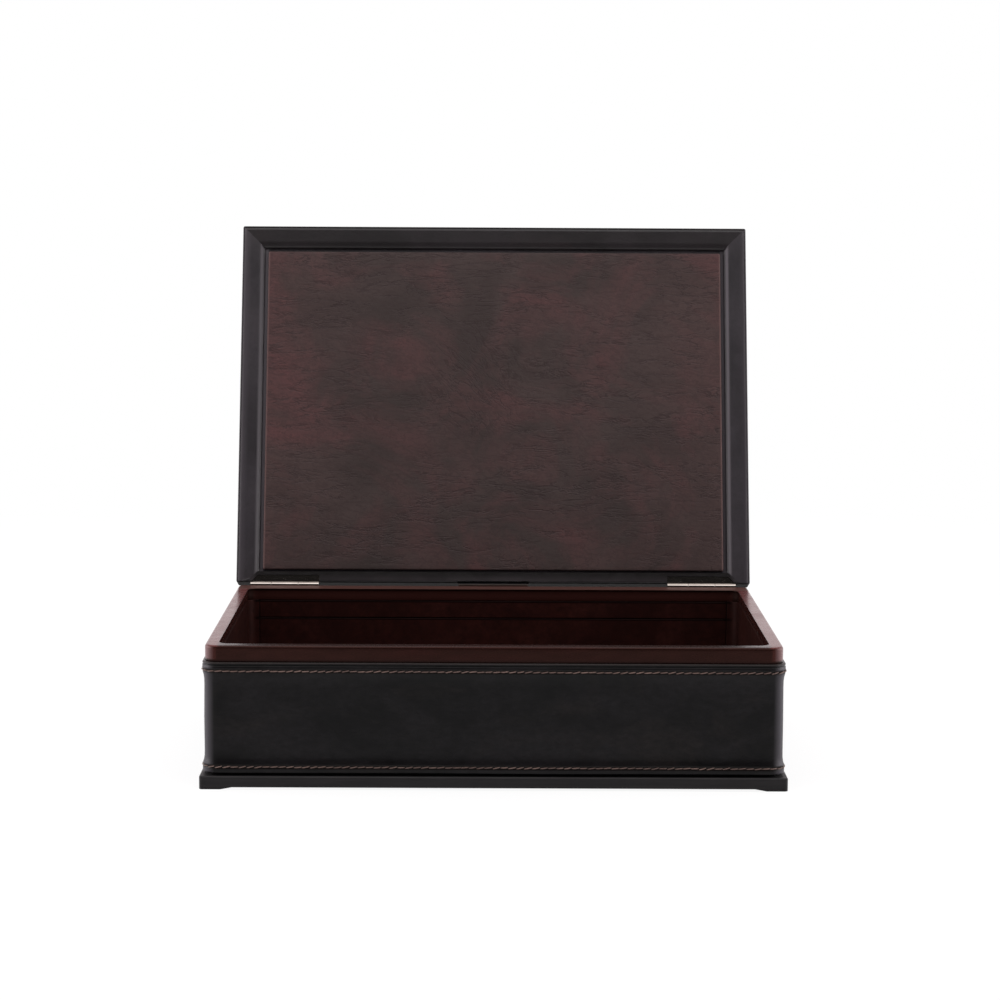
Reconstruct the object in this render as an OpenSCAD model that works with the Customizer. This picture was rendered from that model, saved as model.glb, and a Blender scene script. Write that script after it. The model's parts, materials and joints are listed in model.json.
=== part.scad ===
// Stationery box: a leather covered case on a plinth, with a hinged flat lid.
// Millimetres, +Z up, the front of the case faces -Y, and the lid stands open.
// Inside this file a point's Y is counted from the rim's front face.

/* [Case] */
// Width of the case over the brown rim
case_w = 328; // [260:1:420]
// Depth of the case over the brown rim
case_d = 236; // [180:1:300]
// Height of the rim above the table
case_h = 82; // [60:1:140]
// Radius of the four upright corners outside
corner_r = 8; // [5:0.5:12]
// Radius of the four upright corners of the well
well_r = 8; // [5:0.5:12]
// Thickness of the wooden front and side walls
wall_t = 4.4; // [3:0.2:7]
// Thickness of the wooden back wall, which carries the hinges
back_wall_t = 12.4; // [11:0.2:18]
// Thickness of the wooden floor
floor_t = 4; // [3:0.5:8]

/* [Base and plinth] */
// Thickness of the base board under the case
base_t = 6; // [5:0.5:7]
// How far the base board's edge stands back from the rim's face
base_inset = 4; // [3:0.5:6]
// Height of the dark gap between the plinth and the leather
shadow_gap = 2; // [1:0.25:3]
// Thickness of the felt under the base board
felt_t = 1; // [0.5:0.1:1.5]
// How far the plinth stands out from the rim's face
plinth_out = 3; // [1.5:0.25:6]
// Height of the plinth's moulding, without its feet
plinth_h = 6.3; // [5.5:0.1:12]
// Bevel on the plinth's upper outer edge
plinth_bevel = 0.6; // [0.2:0.1:1.5]
// Radius of the plinth's upright corners
plinth_r = 2; // [1:0.25:4]
// Height of the corner feet
foot_h = 1.3; // [1:0.1:3]
// Length of a foot that stands flat on the table
foot_l = 12; // [8:1:30]
// Length over which a foot runs out into the plinth
foot_run = 7; // [3:1:15]

/* [Leather] */
// Thickness of the brown leather over the rim
rim_leather_t = 0.8; // [0.6:0.1:1.4]
// Height of the brown leather that shows above the black band
rim_show = 9.3; // [6:0.1:14]
// How far the brown leather turns down into the well
rim_turn_in = 7.4; // [4:0.1:9]
// How far the black band stands out from the brown leather
band_out = 0.6; // [0.3:0.1:1.2]
// Thickness that a folded hem adds to the band
hem_t = 1.05; // [0.8:0.05:1.6]
// Height of the band's upper hem
upper_hem_h = 6.1; // [4:0.1:9]
// Height of the band's lower hem
lower_hem_h = 4.3; // [3.5:0.1:8]
// Thickness of the sewing thread
thread_d = 0.8; // [0.5:0.1:1]
// How far the thread stands out from the hem
thread_out = 0.3; // [0.2:0.05:0.45]
// Drop of the upper stitching below the band's upper edge
upper_stitch_drop = 5; // [2:0.1:5.2]
// Rise of the lower stitching above the band's lower edge
lower_stitch_rise = 3.1; // [1.5:0.1:3.4]

/* [Lining] */
// Thickness of the stiff lining at the front and sides of the well
lining_t = 1.8; // [1.4:0.1:3]
// Height of the upper strip of lining on the back wall
back_strip_h = 11.3; // [6:0.1:20]
// Gap at the seams between pieces of lining
seam = 0.4; // [0.2:0.1:0.8]
// Thickness of the leather on the floor
floor_lining_t = 1.5; // [1:0.1:3]

/* [Hinges] */
// Length of each hinge
hinge_l = 44; // [36:1:60]
// Thickness of a hinge leaf
leaf_t = 0.9; // [0.7:0.1:0.9]
// Reach of a hinge leaf from the pivot
leaf_w = 6.5; // [5.5:0.1:6.6]
// Outer corner cut from each leaf in the lid, beside the mitre
leaf_clip = 4.4; // [2:0.1:4.6]
// Depth at which a leaf in the lid lies below the border's face
leaf_sink = 0.8; // [0.6:0.1:0.9]
// Diameter of the knuckles
knuckle_d = 4; // [3.8:0.1:4.2]
// Length of each of the two knuckles on the case's leaf
end_knuckle_l = 13.2; // [10:0.1:15]
// Diameter of the hinge pins
pin_d = 1.6; // [1.2:0.1:2]
// Distance of the pivot behind the rim's back face
pivot_out = 0.7; // [0.5:0.1:1]
// Height of the pivot above the rim
pivot_up = 0.1; // [0:0.05:0.2]
// Diameter of the hinge nails
nail_d = 1; // [0.8:0.1:1.2]
// Diameter of the nails' heads
nail_head_d = 1.8; // [1.5:0.1:1.9]
// Thickness of the nails' heads
nail_head_t = 0.4; // [0.3:0.1:0.5]
// Length of the hinge nails
nail_l = 8; // [5:0.5:10]
// Number of nails in each leaf
nail_count = 3; // [2:1:4]
// Distance between neighbouring nails
nail_pitch = 14; // [8:1:14]

/* [Lid] */
// How far the lid is open, from shut
open_angle = 107; // [95:1:115]
// Thickness of the whole lid
lid_t = 16; // [12:0.5:24]
// How far the lid stands out past the rim at the sides
lid_out = 2; // [1:0.25:4]
// How far the lid stands out past the rim at the front
lid_front_out = 2.9; // [1:0.1:5]
// How far the lid's back edge stays in front of the rim's back face
lid_back_in = 1; // [0.8:0.1:1.2]
// Gap between the rim and the shut lid
lid_gap = 0.3; // [0.2:0.05:0.4]
// Thickness of the lid's black leather
lid_leather_t = 1; // [0.6:0.1:1.2]
// Radius of the lid's upright corners
lid_r = 1.5; // [0.8:0.1:3]
// Height of the lid's border mouldings
border_t = 3; // [2.8:0.1:4]
// Width of the flat of the border at the front and sides
border_flat = 11.6; // [8:0.1:20]
// Width of the flat of the border at the hinges
border_back_flat = 5; // [5:0.1:7]
// Width of the bevel inside the border
bevel_w = 2.6; // [1:0.1:4]
// Bare strip between the border and the brown panel
panel_reveal = 2.8; // [1:0.1:5]
// Bare strip between the back border and the brown panel
panel_back_reveal = 1; // [0.6:0.1:5]
// Thickness of the brown panel
panel_t = 2.5; // [1.5:0.1:2.6]

/* [Back tab] */
// Width of the tab that stands up in the middle of the back rim
tab_w = 45; // [20:1:80]
// Height of the tab above the rim
tab_h = 1.3; // [0.8:0.1:1.3]
// Thickness of the tab
tab_t = 1; // [0.8:0.1:1]
// Distance of the tab from the rim's back face
tab_in = 0.8; // [0.6:0.1:0.9]

/* [Fits] */
// Gap round parts of one body that are let into each other
slack = 0.1; // [0.05:0.05:0.2]
// Radial running fit of the pins and fit of the nails
bore_fit = 0.03; // [0.02:0.01:0.06]
// Gap between a leaf in the lid and the mitre beside it
mitre_gap = 1.7; // [0.5:0.1:2.5]
// Gap between a knuckle and what it turns in
turn_gap = 0.3; // [0.3:0.05:0.4]
// Gap round the tab in the lid's notch
notch_gap = 0.6; // [0.6:0.05:0.8]

/* [Hidden] */

// Colours
WOOD = [0.62, 0.46, 0.30];
BLACK_LEATHER = [0.12, 0.115, 0.12];
BROWN_LEATHER = [0.26, 0.17, 0.15];
BLACK_WOOD = [0.15, 0.14, 0.14];
FELT = [0.05, 0.05, 0.05];
THREAD = [0.42, 0.34, 0.29];
NICKEL = [0.80, 0.77, 0.72];

// Small overrun that lets a cut pass right through
cut = 1;
// Faces in the rounded corners
corner_fn = 48;
// Faces in the pins, bores and nails
bore_fn = 32;

// Heights, from the table up
plinth_top = foot_h + plinth_h;
base_top = plinth_top + shadow_gap;
base_bottom = base_top - base_t;
floor_top = base_top + floor_t;
rim_top = case_h;
wood_top = rim_top - rim_leather_t;
band_top = rim_top - rim_show;
turn_in_bottom = rim_top - rim_turn_in;
back_strip_bottom = turn_in_bottom - back_strip_h;

// The walls' inner faces, without leather
wall_x = case_w / 2 - rim_leather_t - wall_t;
wall_y0 = rim_leather_t + wall_t;
wall_y1 = case_d - rim_leather_t - back_wall_t;
strip_r = well_r + rim_leather_t;

// The well's faces at the rim
well_x = wall_x - rim_leather_t;
well_y0 = wall_y0 + rim_leather_t;
well_y1 = wall_y1 - rim_leather_t;

// The lining's inner faces: its back lies flush with the rim's leather
lining_x = wall_x - lining_t;
lining_y0 = wall_y0 + lining_t;
lining_r = strip_r - lining_t;
lining_end_x = lining_x - lining_r;

// The band's steps outward from the rim's face
hem_out = band_out + hem_t;
thread_edge = hem_out + thread_out;
upper_stitch_z = band_top - upper_stitch_drop;
lower_stitch_z = base_top + lower_stitch_rise;

// The plinth's outline
plinth_x = case_w / 2 + plinth_out;
plinth_w = plinth_out + base_inset;
plinth_d = case_d + 2 * plinth_out;

// The pivot and the knuckles
pivot_y = case_d + pivot_out;
pivot_z = rim_top + pivot_up;
nail_y = pivot_y - (leaf_w + knuckle_d / 2 + turn_gap) / 2;
lid_knuckle_l = hinge_l - 2 * end_knuckle_l - 2 * turn_gap;

// The shut lid's outline
lid_x = case_w / 2 + lid_out;
lid_y0 = -lid_front_out;
lid_y1 = case_d - lid_back_in;
lid_z0 = rim_top + lid_gap;
lid_z1 = lid_z0 + lid_t;
lid_leaf_z = lid_z0 + leaf_sink;

// The lid's board inside its leather, and the border's inner edges on it
board_x = lid_x - lid_leather_t;
board_y0 = lid_y0 + lid_leather_t;
board_y1 = lid_y1 - lid_leather_t;
border_x = lid_x - border_flat - bevel_w;
border_y0 = lid_y0 + border_flat + bevel_w;
border_y1 = lid_y1 - border_back_flat - bevel_w;
tab_y1 = case_d - tab_in;
notch_y = tab_y1 - tab_t - notch_gap;
notch_z = lid_z0 + border_t;

// The hinges reach as far out as the back mitres let them
hinge_end_x = border_x - border_y1 + pivot_y - leaf_w + leaf_clip - mitre_gap * sqrt(2);
hinge_x = hinge_end_x - hinge_l / 2;

// The open lid's furthest point back sets the middle of the whole object
lid_lean = open_angle - 90;
back_reach = pivot_y + (pivot_y - lid_y0) * sin(lid_lean) + (lid_z1 - pivot_z) * cos(lid_lean);
middle_y = (back_reach - plinth_out) / 2;

// Moves a piece of the case from the rim's front face to the object's middle
module placed() {
    translate([0, -middle_y, 0]) children();
}

// Swings a piece of the shut lid up about the pivot, then moves it with the case
module lid_placed() {
    placed()
        translate([0, pivot_y, pivot_z])
            rotate([-open_angle, 0, 0])
                translate([0, -pivot_y, -pivot_z]) children();
}

// Block between two opposite corners
module block(low, high) {
    translate(low) cube(high - low);
}

// Block between two opposite corners, with its upright edges rounded
module rounded_block(low, high, r) {
    translate([0, 0, low.z])
        linear_extrude(high.z - low.z) {
            translate([low.x + r, low.y]) square([high.x - low.x - 2 * r, high.y - low.y]);
            translate([low.x, low.y + r]) square([high.x - low.x, high.y - low.y - 2 * r]);
            for (x = [low.x + r, high.x - r], y = [low.y + r, high.y - r])
                translate([x, y]) circle(r, $fn = corner_fn);
        }
}

// The case's outline as a block, grown by out on every side
module case_block(out, z0, z1) {
    rounded_block([-case_w / 2 - out, -out, z0], [case_w / 2 + out, case_d + out, z1], corner_r + out);
}

// The well's outline at the rim as a block, grown by out on every side
module well_block(out, z0, z1) {
    rounded_block([-well_x - out, well_y0 - out, z0], [well_x + out, well_y1 + out, z1], well_r + out);
}

// The well's outline inside its lining as a block
module lined_block(z0, z1) {
    rounded_block([-lining_x, lining_y0, z0], [lining_x, well_y1, z1], lining_r);
}

// Ring round the case between two steps outward from the rim's face
module case_ring(inner, outer, z0, z1) {
    difference() {
        case_block(outer, z0, z1);
        case_block(inner, z0 - cut, z1 + cut);
    }
}

// Base board, let into the plinth, on which the case stands
module base_board() {
    color(BLACK_WOOD) placed()
        block([-plinth_x + plinth_w, base_inset, base_bottom],
              [plinth_x - plinth_w, case_d - base_inset, base_top]);
}

// Felt under the base board
module base_felt() {
    color(FELT) placed()
        block([-plinth_x + plinth_w, base_inset, base_bottom - felt_t],
              [plinth_x - plinth_w, case_d - base_inset, base_bottom]);
}

// One bar of the plinth: its section runs along X, with a mitre at each end
module plinth_bar(length) {
    intersection() {
        rotate([90, 0, 90])
            linear_extrude(length)
                polygon([[0, 0], [plinth_w, 0], [plinth_w, plinth_h], [plinth_bevel, plinth_h],
                         [0, plinth_h - plinth_bevel]]);
        linear_extrude(plinth_h)
            polygon([[0, 0], [length, 0], [length - plinth_w, plinth_w], [plinth_w, plinth_w]]);
        rounded_block([0, 0, 0], [length, length, plinth_h], plinth_r);
    }
}

module plinth_front() {
    color(BLACK_WOOD) placed()
        translate([-plinth_x, -plinth_out, foot_h]) plinth_bar(2 * plinth_x);
}

module plinth_back() {
    color(BLACK_WOOD) placed()
        translate([plinth_x, plinth_d - plinth_out, foot_h]) rotate(180) plinth_bar(2 * plinth_x);
}

module plinth_left() {
    color(BLACK_WOOD) placed()
        translate([-plinth_x, plinth_d - plinth_out, foot_h]) rotate(-90) plinth_bar(plinth_d);
}

module plinth_right() {
    color(BLACK_WOOD) placed()
        translate([plinth_x, -plinth_out, foot_h]) rotate(90) plinth_bar(plinth_d);
}

// One arm of a foot, along X from the plinth's corner
module foot_arm() {
    translate([0, plinth_w, 0])
        rotate([90, 0, 0])
            linear_extrude(plinth_w)
                polygon([[0, 0], [foot_l, 0], [foot_l + foot_run, foot_h], [0, foot_h]]);
}

// Foot of two arms under the plinth's corner: side is -1 left or 1 right, end is -1 front or 1 back
module foot(side, end) {
    reach = foot_l + foot_run;
    color(BLACK_WOOD) placed()
        translate([side * plinth_x, case_d / 2 + end * plinth_d / 2, 0])
            scale([-side, -end, 1])
                intersection() {
                    union() {
                        foot_arm();
                        mirror([1, -1, 0]) foot_arm();
                    }
                    rounded_block([0, 0, 0], [reach + 2 * plinth_r, reach + 2 * plinth_r, foot_h], plinth_r);
                }
}

module foot_front_left() {
    foot(-1, -1);
}

module foot_front_right() {
    foot(1, -1);
}

module foot_back_left() {
    foot(-1, 1);
}

module foot_back_right() {
    foot(1, 1);
}

// Wooden floor between the walls
module floor_panel() {
    color(WOOD) placed()
        block([-wall_x, wall_y0, base_top], [wall_x, wall_y1, floor_top]);
}

// Leather on the floor, inside the lining of the walls
module floor_lining() {
    color(BROWN_LEATHER) placed() lined_block(floor_top, floor_top + floor_lining_t);
}

// Part of the wooden carcass between two plan corners
module carcass(low, high) {
    intersection() {
        case_block(-rim_leather_t, base_top, wood_top);
        block([low.x, low.y, base_top], [high.x, high.y, wood_top]);
    }
}

module wall_front() {
    color(WOOD) placed() carcass([-wall_x, 0], [wall_x, wall_y0]);
}

module wall_left() {
    color(WOOD) placed() carcass([-case_w / 2, 0], [-wall_x, case_d]);
}

module wall_right() {
    color(WOOD) placed() carcass([wall_x, 0], [case_w / 2, case_d]);
}

module wall_back() {
    color(WOOD) placed()
        difference() {
            carcass([-wall_x, wall_y1], [wall_x, case_d]);
            case_hinge_seats();
            for (side = [-1, 1]) nail_holes(side, wood_top - nail_l, wood_top);
        }
}

// Upright strip that rounds one inner corner of the carcass behind the lining
module corner_strip(side, end) {
    corner_y = end < 0 ? wall_y0 : wall_y1;
    color(WOOD) placed()
        difference() {
            translate([side * wall_x, corner_y, floor_top])
                scale([-side, -end, 1]) cube([strip_r, strip_r, wood_top - floor_top]);
            translate([side * (wall_x - strip_r), corner_y - end * strip_r, floor_top - cut])
                cylinder(r = strip_r, h = wood_top - floor_top + 2 * cut, $fn = corner_fn);
        }
}

module corner_strip_front_left() {
    corner_strip(-1, -1);
}

module corner_strip_front_right() {
    corner_strip(1, -1);
}

module corner_strip_back_left() {
    corner_strip(-1, 1);
}

module corner_strip_back_right() {
    corner_strip(1, 1);
}

// Brown leather over the rim: down the outside to the band and a short way into the well
module rim_cover() {
    color(BROWN_LEATHER) placed()
        difference() {
            case_block(0, band_top, rim_top);
            well_block(0, band_top - cut, rim_top + cut);
            well_block(rim_leather_t, band_top - cut, turn_in_bottom);
            difference() {
                case_block(-rim_leather_t, band_top - cut, wood_top);
                well_block(rim_leather_t, band_top - 2 * cut, wood_top + cut);
            }
            knuckle_seats();
        }
}

// Black leather wrapped round the carcass
module leather_band() {
    color(BLACK_LEATHER) placed() case_ring(-rim_leather_t, band_out, base_top, band_top);
}

// Folded hem round the band, with a groove that the thread sinks into
module hem(z0, z1, stitch_z) {
    groove = thread_d / 2 + slack;
    color(BLACK_LEATHER) placed()
        difference() {
            case_ring(band_out, hem_out, z0, z1);
            case_ring(thread_edge - thread_d - slack, thread_edge, stitch_z - groove, stitch_z + groove);
        }
}

module upper_hem() {
    hem(band_top - upper_hem_h, band_top, upper_stitch_z);
}

module lower_hem() {
    hem(base_top, base_top + lower_hem_h, lower_stitch_z);
}

// Line of thread round the case
module stitching(z) {
    color(THREAD) placed()
        case_ring(thread_edge - thread_d, thread_edge, z - thread_d / 2, z + thread_d / 2);
}

module upper_stitching() {
    stitching(upper_stitch_z);
}

module lower_stitching() {
    stitching(lower_stitch_z);
}

// Part of the lining ring that lies between two values of X and of Y
module lining(low, high, z0, z1) {
    color(BROWN_LEATHER) placed()
        intersection() {
            difference() {
                well_block(rim_leather_t, z0, z1);
                lined_block(z0 - cut, z1 + cut);
            }
            block([low.x, low.y, z0], [high.x, high.y, z1]);
        }
}

// The side linings bend round the corners and end at the front and back ones
module lining_left() {
    lining([-wall_x, wall_y0], [-lining_end_x, wall_y1], floor_top, turn_in_bottom);
}

module lining_right() {
    lining([lining_end_x, wall_y0], [wall_x, wall_y1], floor_top, turn_in_bottom);
}

module lining_front() {
    lining([-lining_end_x + seam, wall_y0], [lining_end_x - seam, lining_y0], floor_top, turn_in_bottom);
}

module lining_back_upper() {
    lining([-lining_end_x + seam, well_y1], [lining_end_x - seam, wall_y1], back_strip_bottom,
           turn_in_bottom - seam);
}

module lining_back_lower() {
    lining([-lining_end_x + seam, well_y1], [lining_end_x - seam, wall_y1], floor_top,
           back_strip_bottom - seam);
}

// Low brown tab on the back rim, which stands in the lid's notch
module back_tab() {
    color(BROWN_LEATHER) placed()
        block([-tab_w / 2, tab_y1 - tab_t, rim_top], [tab_w / 2, tab_y1, rim_top + tab_h]);
}

// Cylinder along X, centred on one hinge's pivot
module pivot_rod(side, d, length) {
    translate([side * hinge_x, pivot_y, pivot_z])
        rotate([0, 90, 0]) cylinder(d = d, h = length, center = true, $fn = bore_fn);
}

// X of each nail of one hinge
function nail_xs(side) = [
    for (i = [0 : nail_count - 1]) side * hinge_x + (i - (nail_count - 1) / 2) * nail_pitch
];

// Holes for one hinge's nails between two heights
module nail_holes(side, z0, z1) {
    for (x = nail_xs(side))
        translate([x, nail_y, z0])
            cylinder(d = nail_d + 2 * bore_fit, h = z1 - z0, $fn = bore_fn);
}

// Pockets for the nails' heads, from height z0 to z1
module head_pockets(side, z0, z1) {
    for (x = nail_xs(side))
        translate([x, nail_y, z0])
            cylinder(d = nail_head_d + 2 * bore_fit, h = z1 - z0, $fn = bore_fn);
}

// Room for the knuckles of both hinges
module knuckle_seats() {
    for (side = [-1, 1]) pivot_rod(side, knuckle_d + 2 * turn_gap, hinge_l + 2 * turn_gap);
}

// What the hinges need cut from the back wall: seats for the leaves under the leather, and room for the knuckles
module case_hinge_seats() {
    for (side = [-1, 1])
        block([side * hinge_x - hinge_l / 2 - slack, pivot_y - leaf_w - slack, wood_top - leaf_t],
              [side * hinge_x + hinge_l / 2 + slack, case_d + cut, wood_top + cut]);
    knuckle_seats();
}

// Outline of a leaf in the shut lid, grown by out on every side, with its outer corner cut off
module lid_leaf_outline(side, out) {
    near = side * (hinge_x - hinge_l / 2 - out);
    far = side * (hinge_x + hinge_l / 2 + out);
    edge_y = pivot_y - leaf_w - out;
    clip = leaf_clip + out * (2 - sqrt(2));
    polygon([[near, pivot_y], [near, edge_y], [far - side * clip, edge_y], [far, edge_y + clip], [far, pivot_y]]);
}

// What the hinges need cut from the shut lid
module lid_hinge_seats() {
    for (side = [-1, 1])
        translate([0, 0, lid_z0 - cut])
            linear_extrude(lid_leaf_z + leaf_t - lid_z0 + cut) lid_leaf_outline(side, slack);
    knuckle_seats();
}

// Room for the tab in the shut lid
module tab_notch() {
    block([-tab_w / 2 - notch_gap, notch_y, lid_z0 - cut], [tab_w / 2 + notch_gap, lid_y1 + cut, notch_z]);
}

// The two end knuckles of a hinge, d across, each longer by extra at both its ends
module end_knuckles(side, d, extra) {
    for (end = [-1, 1])
        translate([end * (hinge_l - end_knuckle_l) / 2, 0, 0]) pivot_rod(side, d, end_knuckle_l + 2 * extra);
}

// Leaf let into the wood under the rim's leather, with the two end knuckles
module case_leaf(side) {
    x = side * hinge_x;
    color(NICKEL) placed()
        difference() {
            union() {
                difference() {
                    block([x - hinge_l / 2, pivot_y - leaf_w, wood_top - leaf_t],
                          [x + hinge_l / 2, pivot_y, wood_top]);
                    pivot_rod(side, knuckle_d + 2 * turn_gap, lid_knuckle_l + 2 * turn_gap);
                }
                end_knuckles(side, knuckle_d, 0);
            }
            pivot_rod(side, pin_d + 2 * bore_fit, hinge_l + 2 * cut);
            nail_holes(side, wood_top - leaf_t - cut, wood_top);
            head_pockets(side, wood_top - nail_head_t, wood_top + cut);
        }
}

module left_hinge_case_leaf() {
    case_leaf(-1);
}

module right_hinge_case_leaf() {
    case_leaf(1);
}

// Leaf sunk into the lid's back border, with the middle knuckle
module lid_leaf(side) {
    color(NICKEL) lid_placed()
        difference() {
            union() {
                difference() {
                    translate([0, 0, lid_leaf_z]) linear_extrude(leaf_t) lid_leaf_outline(side, 0);
                    end_knuckles(side, knuckle_d + 2 * turn_gap, turn_gap);
                }
                pivot_rod(side, knuckle_d, lid_knuckle_l);
            }
            pivot_rod(side, pin_d + 2 * bore_fit, hinge_l + 2 * cut);
            nail_holes(side, lid_leaf_z - cut, lid_leaf_z + leaf_t + cut);
            head_pockets(side, lid_leaf_z - cut, lid_leaf_z + nail_head_t);
        }
}

module left_hinge_lid_leaf() {
    lid_leaf(-1);
}

module right_hinge_lid_leaf() {
    lid_leaf(1);
}

module left_hinge_pin() {
    color(NICKEL) placed() pivot_rod(-1, pin_d, hinge_l);
}

module right_hinge_pin() {
    color(NICKEL) placed() pivot_rod(1, pin_d, hinge_l);
}

// Nails that point down into the back wall, their heads flush with the leaves
module case_hinge_nails() {
    color(NICKEL) placed()
        for (side = [-1, 1], x = nail_xs(side))
            translate([x, nail_y, wood_top]) mirror([0, 0, 1]) nail();
}

// Nails that point up into the shut lid
module lid_hinge_nails() {
    color(NICKEL) lid_placed()
        for (side = [-1, 1], x = nail_xs(side))
            translate([x, nail_y, lid_leaf_z]) nail();
}

// Nail with its head at the origin and its shank along +Z
module nail() {
    cylinder(d = nail_head_d, h = nail_head_t, $fn = bore_fn);
    cylinder(d = nail_d, h = nail_l, $fn = bore_fn);
}

// Wooden board of the lid
module lid_board() {
    color(BLACK_WOOD) lid_placed()
        difference() {
            block([-board_x, board_y0, lid_z0 + border_t], [board_x, board_y1, lid_z1 - lid_leather_t]);
            for (side = [-1, 1]) nail_holes(side, lid_leaf_z, lid_leaf_z + nail_l);
        }
}

// Black leather over the lid's outside and edges
module lid_cover() {
    color(BLACK_LEATHER) lid_placed()
        difference() {
            rounded_block([-lid_x, lid_y0, lid_z0], [lid_x, lid_y1, lid_z1], lid_r);
            block([-board_x, board_y0, lid_z0 - cut], [board_x, board_y1, lid_z1 - lid_leather_t]);
            lid_hinge_seats();
            tab_notch();
        }
}

// Section of a border moulding: its face is flat wide and its base is wider by the bevel
function border_section(flat) = [[0, 0], [flat, 0], [flat + bevel_w, border_t], [0, border_t]];

// Side moulding: a full mitre at the front, and the back moulding's shorter mitre behind
module side_border() {
    back_w = board_y1 - border_y1;
    intersection() {
        translate([-board_x, board_y1, lid_z0])
            rotate([90, 0, 0])
                linear_extrude(board_y1 - board_y0) polygon(border_section(border_flat - lid_leather_t));
        translate([0, 0, lid_z0])
            linear_extrude(border_t)
                polygon([[-board_x, board_y0], [-border_x, border_y0], [-border_x, border_y1],
                         [-border_x - back_w, board_y1], [-board_x, board_y1]]);
    }
}

module lid_border_left() {
    color(BLACK_LEATHER) lid_placed() side_border();
}

module lid_border_right() {
    color(BLACK_LEATHER) lid_placed() mirror([1, 0, 0]) side_border();
}

module lid_border_front() {
    color(BLACK_LEATHER) lid_placed()
        intersection() {
            translate([-board_x, board_y0, lid_z0])
                rotate([90, 0, 90])
                    linear_extrude(2 * board_x) polygon(border_section(border_flat - lid_leather_t));
            translate([0, 0, lid_z0])
                linear_extrude(border_t)
                    polygon([[-board_x, board_y0], [board_x, board_y0], [border_x, border_y0],
                             [-border_x, border_y0]]);
        }
}

module lid_border_back() {
    back_w = board_y1 - border_y1;
    color(BLACK_LEATHER) lid_placed()
        difference() {
            intersection() {
                translate([board_x, board_y1, lid_z0])
                    rotate([90, 0, -90])
                        linear_extrude(2 * board_x)
                            polygon(border_section(border_back_flat - lid_leather_t));
                translate([0, 0, lid_z0])
                    linear_extrude(border_t)
                        polygon([[-border_x, border_y1], [border_x, border_y1],
                                 [border_x + back_w, board_y1], [-border_x - back_w, board_y1]]);
            }
            lid_hinge_seats();
            tab_notch();
            for (side = [-1, 1]) nail_holes(side, lid_z0, lid_z0 + border_t + cut);
        }
}

// Brown leather covered panel inside the border
module lid_panel() {
    edge = border_flat + bevel_w + panel_reveal;
    back_edge = border_back_flat + bevel_w + panel_back_reveal;
    color(BROWN_LEATHER) lid_placed()
        block([-lid_x + edge, lid_y0 + edge, lid_z0 + border_t - panel_t],
              [lid_x - edge, lid_y1 - back_edge, lid_z0 + border_t]);
}

base_board();
base_felt();
floor_panel();
floor_lining();
plinth_front();
plinth_back();
plinth_left();
plinth_right();
foot_front_left();
foot_front_right();
foot_back_left();
foot_back_right();
wall_front();
wall_back();
wall_left();
wall_right();
corner_strip_front_left();
corner_strip_front_right();
corner_strip_back_left();
corner_strip_back_right();
rim_cover();
leather_band();
upper_hem();
lower_hem();
upper_stitching();
lower_stitching();
lining_front();
lining_left();
lining_right();
lining_back_upper();
lining_back_lower();
back_tab();
left_hinge_case_leaf();
right_hinge_case_leaf();
left_hinge_pin();
right_hinge_pin();
left_hinge_lid_leaf();
right_hinge_lid_leaf();
case_hinge_nails();
lid_hinge_nails();
lid_board();
lid_cover();
lid_border_front();
lid_border_back();
lid_border_left();
lid_border_right();
lid_panel();
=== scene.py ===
import json
import math
import random

import bmesh
import bpy
from mathutils import Matrix, Vector, noise

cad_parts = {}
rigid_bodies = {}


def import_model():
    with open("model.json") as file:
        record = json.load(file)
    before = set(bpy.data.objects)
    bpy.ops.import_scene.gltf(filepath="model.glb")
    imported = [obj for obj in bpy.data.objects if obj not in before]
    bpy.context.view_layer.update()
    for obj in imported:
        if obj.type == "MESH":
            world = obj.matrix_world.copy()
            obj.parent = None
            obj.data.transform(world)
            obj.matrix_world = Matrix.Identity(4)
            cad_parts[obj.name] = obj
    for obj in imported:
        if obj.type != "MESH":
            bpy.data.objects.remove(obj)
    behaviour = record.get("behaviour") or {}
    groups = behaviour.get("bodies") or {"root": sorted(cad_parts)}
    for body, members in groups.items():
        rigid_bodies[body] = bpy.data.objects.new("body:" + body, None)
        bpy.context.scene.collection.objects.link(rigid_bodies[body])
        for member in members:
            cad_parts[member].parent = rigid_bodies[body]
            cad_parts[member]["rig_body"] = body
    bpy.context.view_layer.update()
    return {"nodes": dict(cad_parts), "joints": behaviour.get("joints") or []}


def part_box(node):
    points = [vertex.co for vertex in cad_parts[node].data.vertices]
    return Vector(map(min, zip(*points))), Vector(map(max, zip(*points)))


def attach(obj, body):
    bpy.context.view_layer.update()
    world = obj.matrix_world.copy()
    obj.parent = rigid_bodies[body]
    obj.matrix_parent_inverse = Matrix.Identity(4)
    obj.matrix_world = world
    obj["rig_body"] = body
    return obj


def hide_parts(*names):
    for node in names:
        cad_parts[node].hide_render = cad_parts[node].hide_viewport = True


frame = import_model()
MM = 0.001
random.seed(7)


# The frame: the case's and the lid's sizes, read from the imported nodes, in metres

hinge = frame["joints"][0]
pivot = Vector(hinge["pos_m"])
shut_angle = math.radians(hinge["range_deg"][1])
shutting = Matrix.Rotation(shut_angle, 4, "X")


def shut_box(node):
    """Lowest and highest corners of a lid node as it lies when the lid is shut."""
    points = [shutting @ (v.co - pivot) + pivot for v in frame["nodes"][node].data.vertices]
    low = Vector([min(p[i] for p in points) for i in range(3)])
    high = Vector([max(p[i] for p in points) for i in range(3)])
    return low, high


def opened(point):
    """A point of the shut lid, swung to where it lies with the lid open."""
    return shutting.inverted() @ (Vector(point) - pivot) + pivot


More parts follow.
